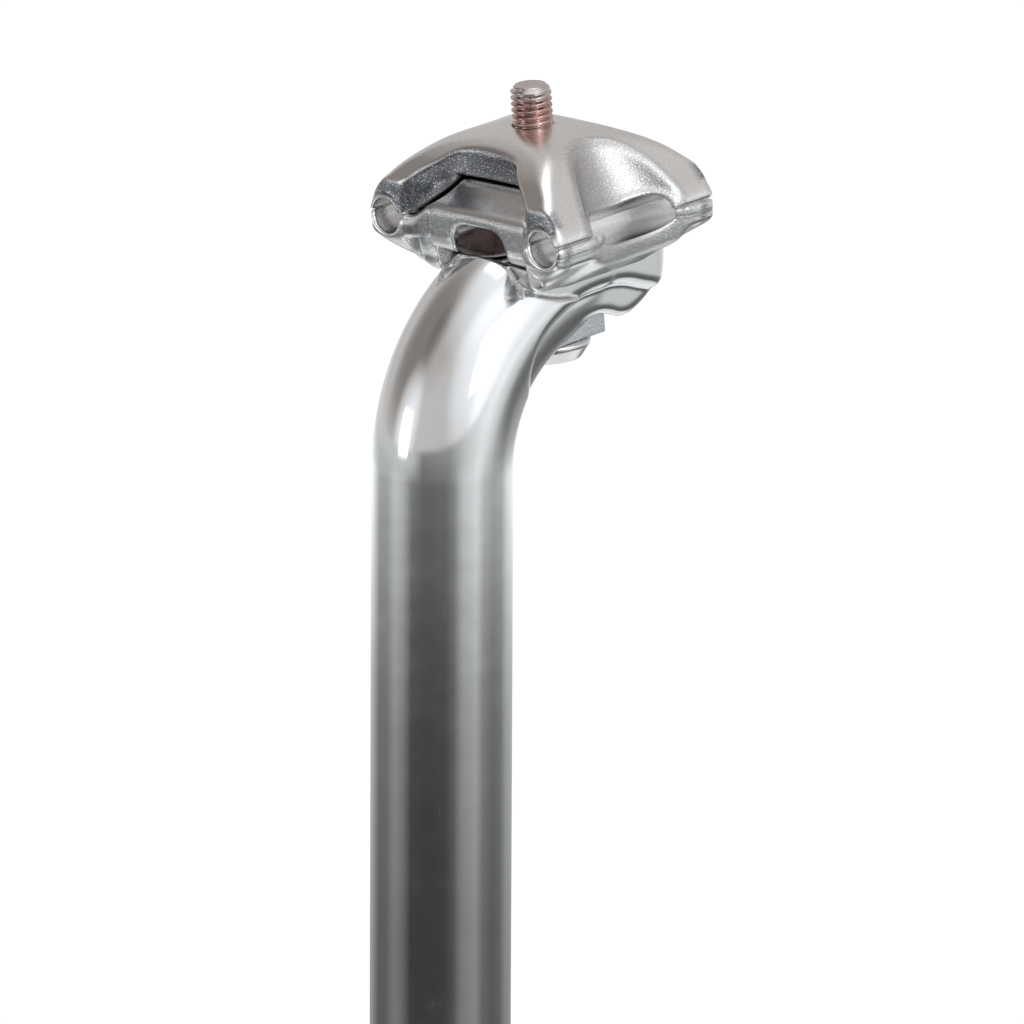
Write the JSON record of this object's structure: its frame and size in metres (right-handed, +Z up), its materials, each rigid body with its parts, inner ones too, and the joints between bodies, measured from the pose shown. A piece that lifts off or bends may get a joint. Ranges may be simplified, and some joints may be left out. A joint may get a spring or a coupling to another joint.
{
  "type": "bicycle seatpost",
  "caption": "Round bicycle seatpost with a rearward bend and a tilting two-piece rail clamp on one bolt, which holds a saddle by its two rails",
  "frame": {"origin": "on the post's axis, in the plane of its lower end", "axes": "+Z up the post's axis, -Y to the front of the bicycle, so that the rails run along Y and X is crosswise"},
  "size_m": [0.052, 0.0651, 0.3251],
  "materials": {
    "post": "bright polished",
    "lower_rail_clamp": "satin tumbled and polished",
    "upper_rail_clamp": "satin tumbled and polished",
    "clamp_bolt": "machined steel",
    "curved_washer": "zinc plated"
  },
  "bodies": {
    "post": {"post": "post"},
    "clamp": {"lower_rail_clamp": "lower_rail_clamp", "upper_rail_clamp": "upper_rail_clamp", "clamp_bolt": "clamp_bolt", "curved_washer": "curved_washer"}
  },
  "joints": [
    {"name": "clamp_tilt", "type": "hinge", "parent": "post", "child": "clamp", "pos_m": [0, 0.02359, 0.3182], "axis": [1, 0, 0], "range_deg": [-7, 7]}
  ]
}
